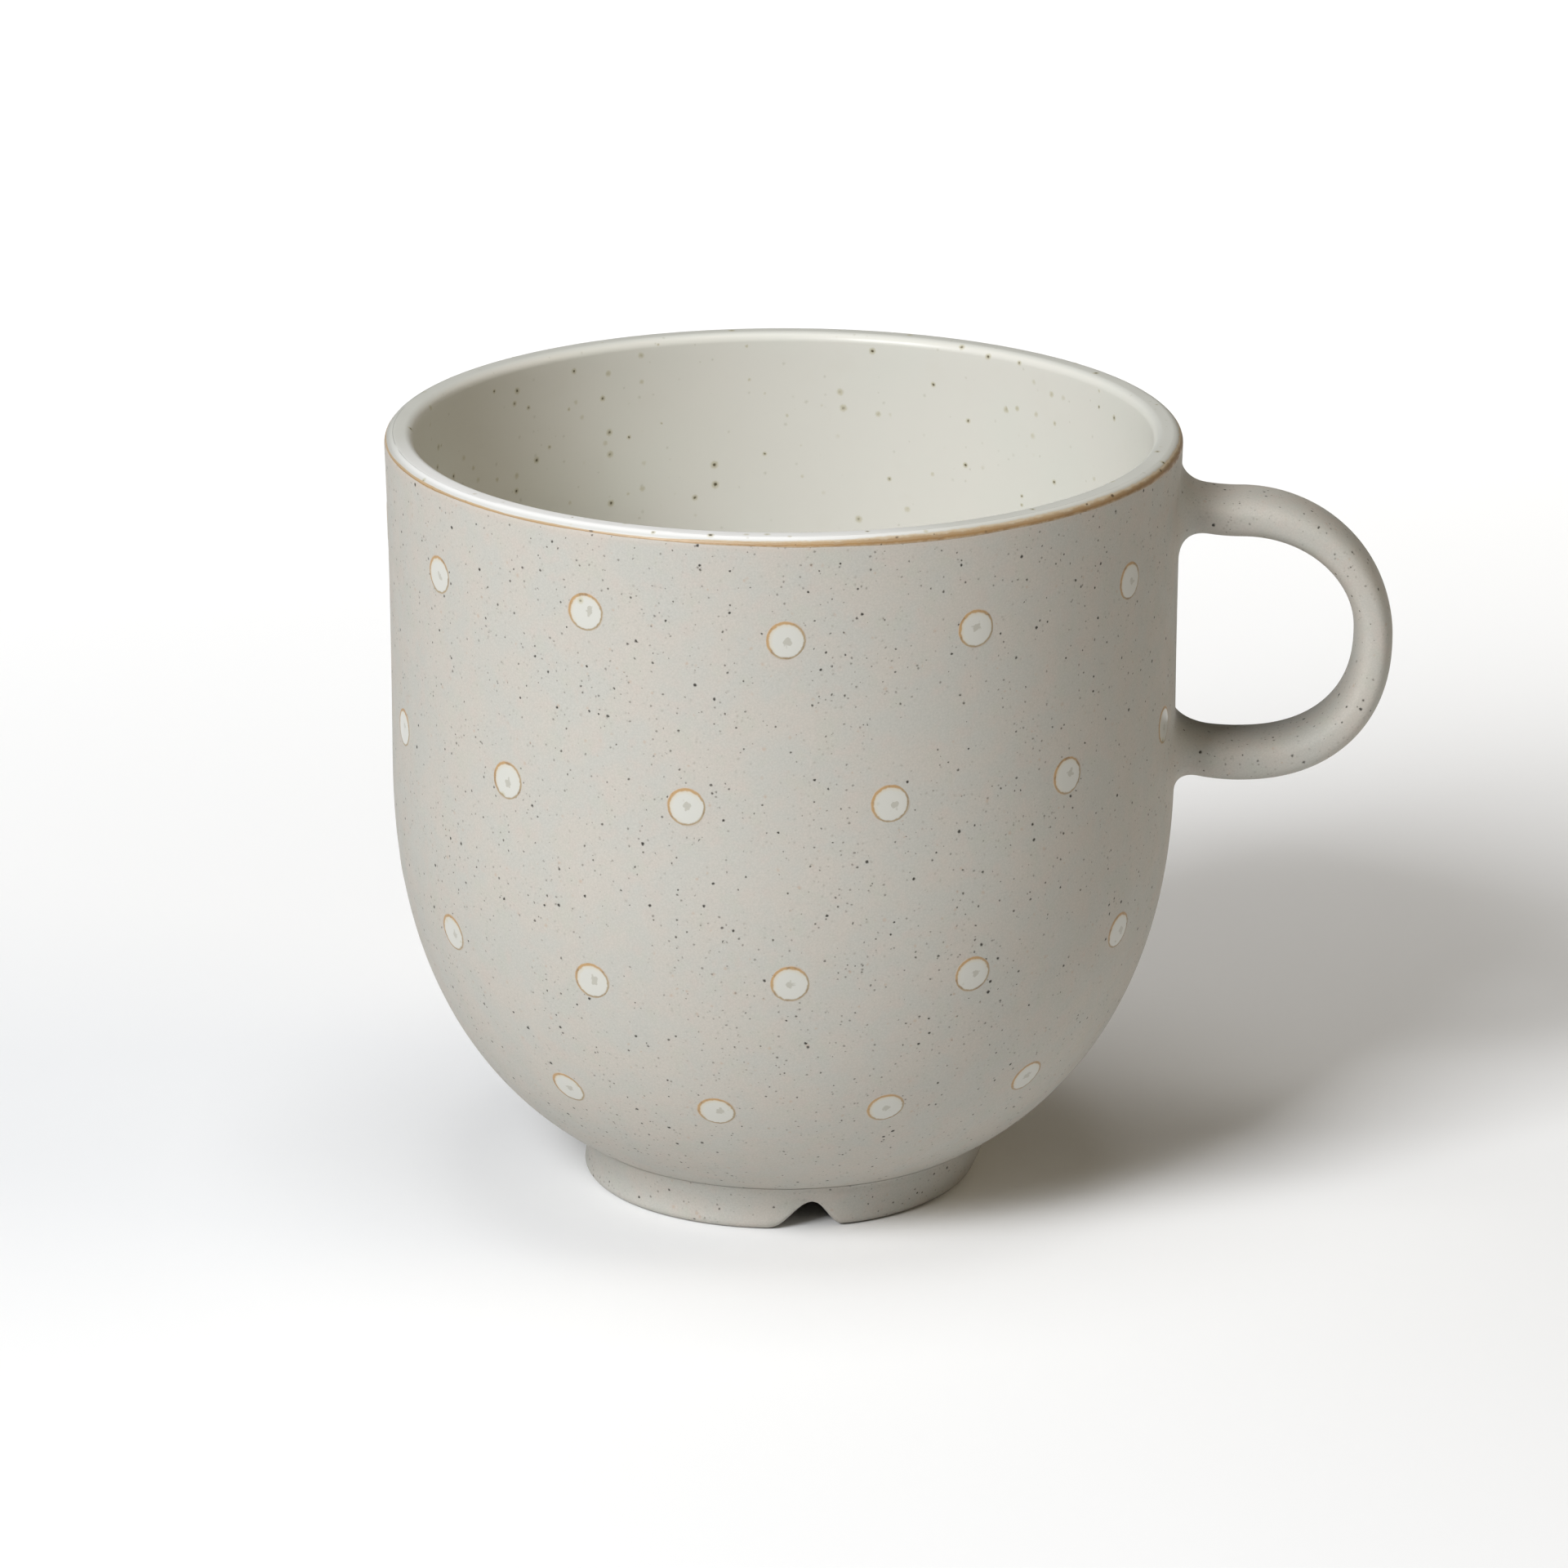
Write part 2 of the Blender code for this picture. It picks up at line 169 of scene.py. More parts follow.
def arc_points(center, radius, start, end, steps):
    points = []
    for step in range(steps + 1):
        angle = start + (end - start) * step / steps
        points.append((center[0] + radius * math.cos(angle), center[1] + radius * math.sin(angle)))
    return points


def line_points(start, end, steps):
    return [
        (start[0] + (end[0] - start[0]) * step / steps, start[1] + (end[1] - start[1]) * step / steps)
        for step in range(steps + 1)
    ]


def make_piece(name, verts, faces, material, slot, *nodes):
    """Makes a smooth piece that rides on the mug and stands for the named CAD nodes."""
    mesh = bpy.data.meshes.new(name)
    mesh.from_pydata(verts, [], faces)
    mesh.validate()
    mesh.shade_smooth()
    mesh.materials.append(material)
    piece = bpy.data.objects.new(name, mesh)
    bpy.context.scene.collection.objects.link(piece)
    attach(piece, BODY)
    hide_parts(*nodes)
    return piece


def give_attribute(piece, name, values):
    """Gives each vertex a number or a vector, for the shaders to read."""
    if isinstance(values[0], tuple):
        attribute = piece.data.attributes.new(name, "FLOAT_VECTOR", "POINT")
        attribute.data.foreach_set("vector", [number for vector in values for number in vector])
    else:
        attribute = piece.data.attributes.new(name, "FLOAT", "POINT")
        attribute.data.foreach_set("value", values)


def lathe(profile, closed, shape=None):
    """Turns a (radius, height) outline about the cup's axis.

    The outline runs so that the solid lies on its left.  shape(azimuth, index, radius, z) may
    move each point.  An open outline starts and ends on the axis.
    """
    verts = []
    faces = []
    count = len(profile)
    inner = range(count) if closed else range(1, count - 1)
    rows = {}
    for index in inner:
        rows[index] = len(verts)
        for segment in range(LATHE_SEGMENTS):
            azimuth = 2 * math.pi * segment / LATHE_SEGMENTS
            radius, z = profile[index]
            if shape:
                radius, z = shape(azimuth, index, radius, z)
            verts.append(place(radius, azimuth, z))
    pairs = [(index, index + 1) for index in inner if index + 1 in rows]
    if closed:
        pairs.append((count - 1, 0))
    for low, high in pairs:
        for segment in range(LATHE_SEGMENTS):
            after = (segment + 1) % LATHE_SEGMENTS
            faces.append((
                rows[low] + segment,
                rows[low] + after,
                rows[high] + after,
                rows[high] + segment,
            ))
    if not closed:
        for end, row, turned in ((0, rows[1], True), (count - 1, rows[count - 2], False)):
            tip = len(verts)
            verts.append(place(0.0, 0.0, profile[end][1]))
            for segment in range(LATHE_SEGMENTS):
                after = (segment + 1) % LATHE_SEGMENTS
                corner = (row + after, row + segment) if turned else (row + segment, row + after)
                faces.append((*corner, tip))
    return verts, faces


# ---------------------------------------------------------------- shader helpers

def new_material(name):
    material = bpy.data.materials.new(name)
    material.use_nodes = True
    tree = material.node_tree
    return material, tree, tree.nodes["Principled BSDF"]


def add(tree, kind, inputs, **settings):
    """Adds a node.  inputs maps a socket's name or number to a value or to another socket."""
    node = tree.nodes.new(kind)
    for name, value in settings.items():
        setattr(node, name, value)
    for key, value in inputs.items():
        if isinstance(value, bpy.types.NodeSocket):
            tree.links.new(value, node.inputs[key])
        else:
            node.inputs[key].default_value = value
    return node


def maths(tree, operation, first, second=0.0, clamp=False):
    return add(tree, "ShaderNodeMath", {0: first, 1: second}, operation=operation, use_clamp=clamp).outputs[0]


def mapped(tree, value, low, high, to_low=0.0, to_high=1.0, smooth=True):
    kind = "SMOOTHSTEP" if smooth else "LINEAR"
    inputs = {"Value": value, "From Min": low, "From Max": high, "To Min": to_low, "To Max": to_high}
    return add(tree, "ShaderNodeMapRange", inputs, interpolation_type=kind).outputs["Result"]


def opaque(colour):
    """Gives a plain colour its alpha; a socket passes through."""
    return (*colour, 1.0) if isinstance(colour, tuple) else colour


def blended(tree, share, first, second, blend="MIX"):
    """Mixes two colours."""
    inputs = {0: share, 6: opaque(first), 7: opaque(second)}
    return add(tree, "ShaderNodeMix", inputs, data_type="RGBA", blend_type=blend).outputs[2]


def noise(tree, vector, size, detail=2.0, roughness=0.5, output="Fac"):
    """Noise whose features are about this size, in metres."""
    inputs = {"Vector": vector, "Scale": 1.0 / size, "Detail": detail, "Roughness": roughness}
    return add(tree, "ShaderNodeTexNoise", inputs).outputs[output]


def shifted(tree, vector, offset):
    return add(tree, "ShaderNodeVectorMath", {0: vector, 1: offset}, operation="ADD").outputs[0]


def jittered(tree, vector, size, amount):
    """Coordinates shaken by fine noise, so that specks aren't round."""
    shake = noise(tree, vector, size, detail=1.0, output="Color")
    centred = add(tree, "ShaderNodeVectorMath", {0: shake, 1: (0.5, 0.5, 0.5)}, operation="SUBTRACT")
    scaled = add(tree, "ShaderNodeVectorMath", {0: centred.outputs[0], "Scale": amount}, operation="SCALE")
    return shifted(tree, vector, scaled.outputs[0])


def cells(tree, vector, cell, seed):
    """Scattered points, about one in each cell: distance in metres and two random numbers."""
    moved = shifted(tree, vector, (seed * 0.137, seed * 0.071, seed * 0.193))
    voronoi = add(tree, "ShaderNodeTexVoronoi", {"Vector": moved, "Scale": 1.0 / cell, "Randomness": 1.0})
    distance = maths(tree, "MULTIPLY", voronoi.outputs["Distance"], cell)
    split = add(tree, "ShaderNodeSeparateColor", {0: voronoi.outputs["Color"]})
    return distance, split.outputs[0], split.outputs[1]


def specks(tree, vector, cell, radius, share, seed, soft=0.45, density=None):
    """Mask of specks: one in share of the cells holds one, up to this radius."""
    distance, chance, size = cells(tree, vector, cell, seed)
    limit = share if density is None else maths(tree, "MULTIPLY", density, share)
    present = maths(tree, "LESS_THAN", chance, limit)
    reach = mapped(tree, size, 0.0, 1.0, radius * 0.45, radius, smooth=False)
    start = maths(tree, "MULTIPLY", reach, 1.0 - soft)
    mask = mapped(tree, distance, start, reach, 1.0, 0.0)
    return maths(tree, "MULTIPLY", mask, present)


def stained(tree, colour, mask, strength, stain):
    """Lays a stain over a colour where the mask is, at this strength."""
    return blended(tree, maths(tree, "MULTIPLY", mask, strength), colour, stain)


def greyed(tree, colour, factor):
    """Multiplies a colour by one grey factor."""
    grey = add(tree, "ShaderNodeCombineColor", {0: factor, 1: factor, 2: factor})
    return blended(tree, 1.0, colour, grey.outputs[0], "MULTIPLY")


# ---------------------------------------------------------------- materials

# Clay
CLAY = (0.462, 0.430, 0.378)
CLAY_COOL = (0.440, 0.428, 0.384)
CLAY_PINK = (0.474, 0.418, 0.368)
CLAY_GREEN = (0.430, 0.428, 0.366)
CLAY_FLUSH = (0.50, 0.40, 0.33)         # warm tint just under the toasted line
IRON = (0.030, 0.026, 0.020)

# Glaze
GLAZE = (0.680, 0.662, 0.598)
GLAZE_COOL = (0.668, 0.662, 0.596)
GLAZE_CLOUD = (0.63, 0.60, 0.52)
GLAZE_WARM = (0.50, 0.37, 0.21)         # beside the toasted line
BLED_FAINT = (0.30, 0.28, 0.17)         # iron that has bled into the glaze
BLED_HALO = (0.38, 0.33, 0.14)
BLED_HEART = (0.060, 0.042, 0.015)
# On the lip's flat top and on its outer round: the plain colour, and the colour lightened by painted light
# toward the key light
LIP_TOP = ((0.600, 0.598, 0.545), (0.810, 0.805, 0.780))
LIP_ROUND = ((0.460, 0.450, 0.405), (0.550, 0.545, 0.515))

# Toasted line: its three stages of burning with their places on the ramp, which also carries painted shade
# toward the handle side, then what lies on it
TOAST_STAGES = (
    (0.25, (0.470, 0.340, 0.170)),
    (0.60, (0.360, 0.222, 0.095)),
    (1.05, (0.160, 0.092, 0.042)),
)
TOAST_PARTING = (0.56, 0.46, 0.32)
TOAST_UPPER = (0.56, 0.48, 0.35)
TOAST_LOWER = (0.44, 0.36, 0.26)
TOAST_CRUMB = (0.100, 0.060, 0.030)
TOAST_LUMP = (0.070, 0.042, 0.020)

# Dots
DOT_GLAZE = (0.535, 0.520, 0.470)
DOT_GLAZE_COOL = (0.515, 0.512, 0.462)
DOT_PATCH = (0.390, 0.372, 0.315)
# Painted glow inside a dot's ring, on its lit side
DOT_PAINTED_GLOW = (0.520, 0.420, 0.260)
DOT_OUTSIDE = (0.455, 0.405, 0.345)
# The dots' ring in painted shade, then in painted light
RING_PAINTED_SHADE = (0.310, 0.240, 0.140)
RING_PAINTED_LIT = (0.400, 0.250, 0.110)
RING_BURNT = (0.180, 0.115, 0.060)

# Iron specks in the clay: cell, radius, share, seed, softness, strength, colour
CLAY_SPECKS = (
    (0.80 * MM, 0.27 * MM, 0.72, 3, 0.9, 0.34, (0.21, 0.185, 0.15)),
    (1.50 * MM, 0.36 * MM, 0.60, 5, 0.9, 0.38, (0.40, 0.25, 0.16)),
    (0.90 * MM, 0.22 * MM, 0.78, 11, 0.8, 0.64, (0.09, 0.078, 0.062)),
    (1.32 * MM, 0.23 * MM, 0.85, 13, 0.7, 0.86, (0.055, 0.046, 0.036)),
    (1.75 * MM, 0.29 * MM, 0.72, 19, 0.6, 0.97, IRON),
)


def clay_material():
    """Matte grey-beige stoneware with iron specks of several sizes and a faint mottle."""
    material, tree, shader = new_material("speckled_clay")
    at = add(tree, "ShaderNodeTexCoord", {}).outputs["Object"]
    rough = jittered(tree, at, 0.30 * MM, 0.20 * MM)
    crowd = mapped(tree, noise(tree, at, 9 * MM, detail=3.0), 0.34, 0.66, 0.4, 1.4, smooth=False)
    cluster = mapped(tree, noise(tree, at, 2.6 * MM, detail=1.0), 0.38, 0.64, 0.5, 1.6, smooth=False)
    crowd = maths(tree, "MULTIPLY", crowd, cluster)

    cool = mapped(tree, noise(tree, at, 5 * MM, detail=3.0), 0.35, 0.65)
    colour = blended(tree, cool, CLAY, CLAY_COOL)
    pink = noise(tree, shifted(tree, at, (0.31, 0.17, 0.05)), 1.9 * MM, detail=3.0)
    colour = stained(tree, colour, mapped(tree, pink, 0.50, 0.72), 0.45, CLAY_PINK)
    green = noise(tree, shifted(tree, at, (0.11, 0.47, 0.23)), 2.6 * MM, detail=3.0)
    colour = stained(tree, colour, mapped(tree, green, 0.52, 0.72), 0.4, CLAY_GREEN)
    grain = mapped(tree, noise(tree, at, 0.20 * MM, detail=2.0), 0.30, 0.70, 0.935, 1.045, smooth=False)
    colour = greyed(tree, colour, grain)
    height = add(tree, "ShaderNodeSeparateXYZ", {0: at}).outputs[2]
    flushed = mapped(tree, height, HEIGHT - 1.9 * MM, HEIGHT - 1.0 * MM)
    colour = stained(tree, colour, flushed, 0.25, CLAY_FLUSH)

    for cell, radius, share, seed, soft, strength, stain in CLAY_SPECKS:
        speck = specks(tree, rough, cell, radius, share, seed, soft, density=crowd)
        colour = stained(tree, colour, speck, strength, stain)
    tree.links.new(colour, shader.inputs["Base Color"])

    wear = noise(tree, at, 3.0 * MM, detail=3.0)
    tree.links.new(mapped(tree, wear, 0.3, 0.7, 0.60, 0.74), shader.inputs["Roughness"])
    shader.inputs["Specular IOR Level"].default_value = 0.35

    # Fine tooth, faint marks of turning that run round the cup, and pits at the darkest specks
    tooth = noise(tree, at, 0.5 * MM, detail=3.0, roughness=0.6)
    level = add(tree, "ShaderNodeMapping", {"Vector": at, "Scale": (0.12, 0.12, 1.0)}).outputs[0]
    turned = noise(tree, level, 0.9 * MM)
    relief = maths(tree, "MULTIPLY", tooth, 0.6)
    relief = maths(tree, "ADD", relief, maths(tree, "MULTIPLY", turned, 0.5))
    relief = maths(tree, "SUBTRACT", relief, maths(tree, "MULTIPLY", speck, 0.5))
    bump = add(tree, "ShaderNodeBump", {"Strength": 0.42, "Distance": 0.03 * MM, "Height": relief})
    tree.links.new(bump.outputs[0], shader.inputs["Normal"])
    return material


def iron_in_glaze(tree, at, colour, cell, strength):
    """Iron specks that have bled into the glaze: a dark heart in an olive halo."""
    rough = jittered(tree, at, 0.35 * MM, 0.18 * MM)
    faint = specks(tree, rough, cell * 0.8, 0.34 * MM, 0.60, 23, soft=0.9)
    colour = stained(tree, colour, faint, 0.28 * strength, BLED_FAINT)
    distance, chance, size = cells(tree, rough, cell, 29)
    present = maths(tree, "LESS_THAN", chance, 0.55)
    reach = mapped(tree, size, 0.0, 1.0, 0.09 * MM, 0.27 * MM, smooth=False)
    halo = mapped(tree, distance, reach, maths(tree, "MULTIPLY", reach, 2.3), 1.0, 0.0)
    halo = maths(tree, "MULTIPLY", halo, present)
    near = maths(tree, "MULTIPLY", reach, 0.35)
    far = maths(tree, "MULTIPLY", reach, 1.15)
    heart = maths(tree, "MULTIPLY", mapped(tree, distance, near, far, 1.0, 0.0), present)
    colour = stained(tree, colour, halo, 0.45 * strength, BLED_HALO)
    return stained(tree, colour, heart, 0.92 * strength, BLED_HEART)


def glaze_material():
    """Satin off-white glaze, whitest on the lip's flat top at the front left where painted light lightens it,
    with bled iron specks.
    """
    material, tree, shader = new_material("speckled_glaze")
    at = add(tree, "ShaderNodeTexCoord", {}).outputs["Object"]
    cool = mapped(tree, noise(tree, at, 16 * MM, detail=2.0), 0.35, 0.65)
    colour = blended(tree, cool, GLAZE, GLAZE_COOL)
    cloud = noise(tree, shifted(tree, at, (0.2, 0.4, 0.1)), 5 * MM, detail=3.0)
    colour = stained(tree, colour, mapped(tree, cloud, 0.55, 0.80), 0.20, GLAZE_CLOUD)
    height = add(tree, "ShaderNodeSeparateXYZ", {0: at}).outputs[2]
    flat = mapped(tree, height, HEIGHT - 0.42 * MM, HEIGHT - 0.01 * MM)
    lip_light = add(tree, "ShaderNodeAttribute", {}, attribute_name="lip_painted_light").outputs["Fac"]
    outside = add(tree, "ShaderNodeAttribute", {}, attribute_name="outer_round").outputs["Fac"]
    # Painted light: the lip's outer round and flat top are lighter toward the key light, at the front left.
    colour = blended(tree, outside, colour, blended(tree, lip_light, *LIP_ROUND))
    colour = blended(tree, flat, colour, blended(tree, lip_light, *LIP_TOP))
    colour = iron_in_glaze(tree, at, colour, 2.1 * MM, 1.0)
    warmth = add(tree, "ShaderNodeAttribute", {}, attribute_name="edge_warmth").outputs["Fac"]
    ragged = maths(tree, "MULTIPLY", maths(tree, "SUBTRACT", noise(tree, at, 0.9 * MM), 0.5), 1.2)
    warmth = mapped(tree, maths(tree, "ADD", warmth, ragged), 0.25, 1.05)
    colour = stained(tree, colour, warmth, 0.70, GLAZE_WARM)
    tree.links.new(colour, shader.inputs["Base Color"])
    swirl = noise(tree, at, 6 * MM, detail=3.0)
    tree.links.new(mapped(tree, swirl, 0.3, 0.7, 0.34, 0.42), shader.inputs["Roughness"])
    shader.inputs["Specular IOR Level"].default_value = 0.32
    shader.inputs["Coat Weight"].default_value = 0.05
    shader.inputs["Coat Roughness"].default_value = 0.16
    ripple = noise(tree, at, 7 * MM, detail=2.0)
    bump = add(tree, "ShaderNodeBump", {"Strength": 0.10, "Distance": 0.05 * MM, "Height": ripple})
    tree.links.new(bump.outputs[0], shader.inputs["Normal"])
    return material


def toasted_material():
    """Thin glaze burnt to ochre and brown: two faint strands on one side, broad on the other, darker toward
    the handle side, partly as painted shade.
    """
    material, tree, shader = new_material("toasted_edge")
    at = add(tree, "ShaderNodeTexCoord", {}).outputs["Object"]
    local = add(tree, "ShaderNodeAttribute", {}, attribute_name="edge_place").outputs["Vector"]
    share, side = add(tree, "ShaderNodeSeparateXYZ", {0: local}).outputs[1:]
    streak = noise(tree, at, 1.1 * MM, detail=4.0, roughness=0.65)
    run = noise(tree, at, 6.0 * MM, detail=2.0)
    ragged = maths(tree, "MULTIPLY", maths(tree, "SUBTRACT", streak, 0.5), 0.7)
    ragged = maths(tree, "ADD", share, ragged)
    # Darker toward the handle side: partly a heavier burn where the line is broad, partly painted shade.
    burn_and_shade = mapped(tree, side, 0.40, 0.95, 0.36, 0.50, smooth=False)
    burn_and_shade = maths(tree, "ADD", burn_and_shade, maths(tree, "MULTIPLY", streak, 0.35))
    burn_and_shade = maths(tree, "ADD", burn_and_shade, maths(tree, "MULTIPLY", run, 0.25))
    ramp = add(tree, "ShaderNodeValToRGB", {0: burn_and_shade})
    ramp.color_ramp.elements.new(TOAST_STAGES[1][0])
    for element, (position, stage) in zip(ramp.color_ramp.elements, TOAST_STAGES):
        element.position = position
        element.color = opaque(stage)
    colour = ramp.outputs[0]

    parting = maths(tree, "ABSOLUTE", maths(tree, "SUBTRACT", ragged, 0.60))
    parting = mapped(tree, parting, 0.03, 0.16, 1.0, 0.0)
    parting = maths(tree, "MULTIPLY", parting, mapped(tree, side, 0.1, 0.85, 0.55, 0.10))
    colour = stained(tree, colour, parting, 1.0, TOAST_PARTING)
    upper = mapped(tree, ragged, 0.58, 1.08)
    colour = stained(tree, colour, upper, 0.75, TOAST_UPPER)
    lower = mapped(tree, ragged, -0.05, 0.36, 1.0, 0.0)
    colour = stained(tree, colour, lower, 0.65, TOAST_LOWER)
    shaken = jittered(tree, at, 0.3 * MM, 0.2 * MM)
    crumb = specks(tree, shaken, 1.0 * MM, 0.20 * MM, 0.35, 31, soft=0.7)
    colour = stained(tree, colour, crumb, 0.80, TOAST_CRUMB)
    lump = specks(tree, shaken, 1.5 * MM, 0.40 * MM, 0.55, 37, soft=0.6)
    colour = stained(tree, colour, lump, 0.85, TOAST_LUMP)
    tree.links.new(colour, shader.inputs["Base Color"])
    tree.links.new(mapped(tree, streak, 0.3, 0.7, 0.40, 0.55), shader.inputs["Roughness"])
    bump = add(tree, "ShaderNodeBump", {"Strength": 0.25, "Distance": 0.03 * MM, "Height": streak})
    tree.links.new(bump.outputs[0], shader.inputs["Normal"])
    return material


def from_middle(tree, first, second):
    """Distance from the origin of a pair of coordinates."""
    squares = [maths(tree, "MULTIPLY", value, value) for value in (first, second)]
    return maths(tree, "SQRT", maths(tree, "ADD", squares[0], squares[1]))


def dot_patch(tree, along, up, seed, local):
    """Mask of the torn patch a little to the right of a dot's middle."""
    turn = maths(tree, "SINE", maths(tree, "MULTIPLY", seed, 170.0))
    lift = maths(tree, "SINE", maths(tree, "MULTIPLY", seed, 310.0))
    across = maths(tree, "SUBTRACT", along, mapped(tree, turn, -1.0, 1.0, 0.0, 0.55 * MM, smooth=False))
    high = maths(tree, "SUBTRACT", up, mapped(tree, lift, -1.0, 1.0, -0.25 * MM, 0.25 * MM, smooth=False))
    off = from_middle(tree, maths(tree, "MULTIPLY", across, 1.15), high)
    inputs = {"Vector": local, "Scale": 1.0 / (0.55 * MM)}
    chunk = add(tree, "ShaderNodeTexVoronoi", inputs, distance="MANHATTAN")
    torn = maths(tree, "ADD", off, maths(tree, "MULTIPLY", chunk.outputs["Distance"], 0.50 * MM))
    return mapped(tree, torn, 0.74 * MM, 0.90 * MM, 1.0, 0.0)


def dot_material():
    """Pool of glaze: burnt ring at its edge, thicker at the upper left, warmer there and duller grey at the
    lower right as painted light and shade, a painted glow inside it on the lit side, and a torn grey patch
    near its middle.
    """
    material, tree, shader = new_material("dot_glaze")
    local = add(tree, "ShaderNodeAttribute", {}, attribute_name="dot_place").outputs["Vector"]
    along, up, seed = add(tree, "ShaderNodeSeparateXYZ", {0: local}).outputs
    fine = maths(tree, "SUBTRACT", noise(tree, local, 0.45 * MM, detail=2.0), 0.5)
    slow = noise(tree, local, 2.4 * MM, detail=1.0)

    radius = maths(tree, "ADD", from_middle(tree, along, up), maths(tree, "MULTIPLY", fine, 0.16 * MM))
    lean = maths(tree, "SUBTRACT", maths(tree, "MULTIPLY", up, 0.75), maths(tree, "MULTIPLY", along, 0.65))
    lean = maths(tree, "ADD", lean, maths(tree, "MULTIPLY", maths(tree, "SUBTRACT", slow, 0.5), 4.0 * MM))
    thick = mapped(tree, lean, -2.0 * MM, 2.4 * MM, 0.15 * MM, 0.27 * MM)
    thick = maths(tree, "ADD", thick, maths(tree, "MULTIPLY", fine, 0.12 * MM))
    inner = maths(tree, "SUBTRACT", DOT_RING_RADIUS, thick)
    ring_start = maths(tree, "SUBTRACT", inner, 0.14 * MM)
    ring = mapped(tree, radius, ring_start, maths(tree, "ADD", inner, 0.06 * MM))
    # Painted light and shade: the ring is warmer toward the upper left, where the key light comes from, and
    # duller grey toward the lower right.
    lit_side = mapped(tree, lean, -1.6 * MM, 1.8 * MM)
    ring_colour = blended(tree, lit_side, RING_PAINTED_SHADE, RING_PAINTED_LIT)
    burn = mapped(tree, noise(tree, local, 0.8 * MM, detail=2.0), 0.50, 0.72)
    ring_colour = stained(tree, ring_colour, burn, 0.6, RING_BURNT)

    colour = blended(tree, slow, DOT_GLAZE, DOT_GLAZE_COOL)
    colour = stained(tree, colour, dot_patch(tree, along, up, seed, local), 0.9, DOT_PATCH)
    # Painted glow: a warm lightening just inside the ring, on its lit side only.
    painted_glow_start = maths(tree, "SUBTRACT", inner, 0.55 * MM)
    painted_glow = maths(tree, "MULTIPLY", mapped(tree, radius, painted_glow_start, inner), lit_side)
    colour = stained(tree, colour, painted_glow, 0.45, DOT_PAINTED_GLOW)
    colour = iron_in_glaze(tree, local, colour, 3.2 * MM, 0.9)
    colour = blended(tree, ring, colour, ring_colour)
    outside = mapped(tree, radius, DOT_RING_RADIUS - 0.05 * MM, DOT_RING_RADIUS + 0.06 * MM)
    colour = stained(tree, colour, outside, 0.85, DOT_OUTSIDE)
    tree.links.new(colour, shader.inputs["Base Color"])
    tree.links.new(mapped(tree, ring, 0.0, 1.0, 0.30, 0.60), shader.inputs["Roughness"])
    shader.inputs["Coat Weight"].default_value = 0.15
    shader.inputs["Coat Roughness"].default_value = 0.15
    relief = noise(tree, local, 1.4 * MM)
    bump = add(tree, "ShaderNodeBump", {"Strength": 0.25, "Distance": 0.04 * MM, "Height": relief})
    tree.links.new(bump.outputs[0], shader.inputs["Normal"])
    return material


def floor_material():
    """Plain white studio floor."""
    material, tree, shader = new_material("studio_floor")
    at = add(tree, "ShaderNodeTexCoord", {}).outputs["Object"]
    tone = blended(tree, noise(tree, at, 0.4), (0.895, 0.895, 0.89), (0.905, 0.905, 0.90))
    tree.links.new(tone, shader.inputs["Base Color"])
    shader.inputs["Roughness"].default_value = 0.9
    shader.inputs["Specular IOR Level"].default_value = 0.1
    return material


# ---------------------------------------------------------------- cup

def outer_radius(z):
    """Radius of the outer wall at height z, up to where the lip's round starts."""
    if z >= SHOULDER_Z:
        share = (z - SHOULDER_Z) / (HEIGHT - LIP_OUTER_ROUND - SHOULDER_Z)
        return WALL_RADIUS + (RIM_RADIUS - WALL_RADIUS) * min(1.0, share) ** OPENING_POWER
    depth = (SHOULDER_Z - z) / SHOULDER_Z
    return WALL_RADIUS * (1.0 - depth ** BELLY_POWER) ** (1.0 / BELLY_POWER)


def outer_normal(z):
    """Outward normal of the outer wall at height z, as (radial, vertical)."""
    step = 0.01 * MM
    slope = (outer_radius(z + step) - outer_radius(z - step)) / (2 * step)
    length = math.hypot(1.0, slope)
    return 1.0 / length, -slope / length


def outer_points(start_z):
    """Outer wall from start_z up to the lip's round."""
    start = math.acos((SHOULDER_Z - start_z) / SHOULDER_Z)
    angles = [start + (math.pi / 2 - start) * step / BELLY_STEPS for step in range(BELLY_STEPS + 1)]
    heights = [SHOULDER_Z * (1.0 - math.cos(angle)) for angle in angles]
    wall = HEIGHT - LIP_OUTER_ROUND - SHOULDER_Z
    heights += [SHOULDER_Z + wall * step / WALL_STEPS for step in range(1, WALL_STEPS + 1)]
    return [(outer_radius(z), z) for z in heights]


def bowl_points(radius, bottom_z, steps):
    """Inside of the cup from the shoulder down to the axis."""
    depth = SHOULDER_Z - bottom_z
    points = []
    for step in range(steps + 1):
        angle = math.pi / 2 * step / steps
        r = radius * math.cos(angle) ** (2.0 / INSIDE_POWER)
        z = SHOULDER_Z - depth * math.sin(angle) ** (2.0 / INSIDE_POWER)
        points.append((r if step < steps else 0.0, z))
    return points


def smooth(share):
    """Smooth step from 0 to 1."""
    share = min(1.0, max(0.0, share))
    return share * share * (3.0 - 2.0 * share)


def edge_breadth(azimuth):
    """0 where the toasted line is thin, away from the handle, rising to 1 where it is broad."""
    return smooth(0.5 + math.sin(azimuth))


def lip_painted_light(azimuth):
    """1 where the lip's colour is painted lighter, as light from the key light, at the front away from the
    handle.
    """
    return smooth((math.cos(azimuth - PAINTED_LIGHT_AZIMUTH) - 0.5) / 0.4)


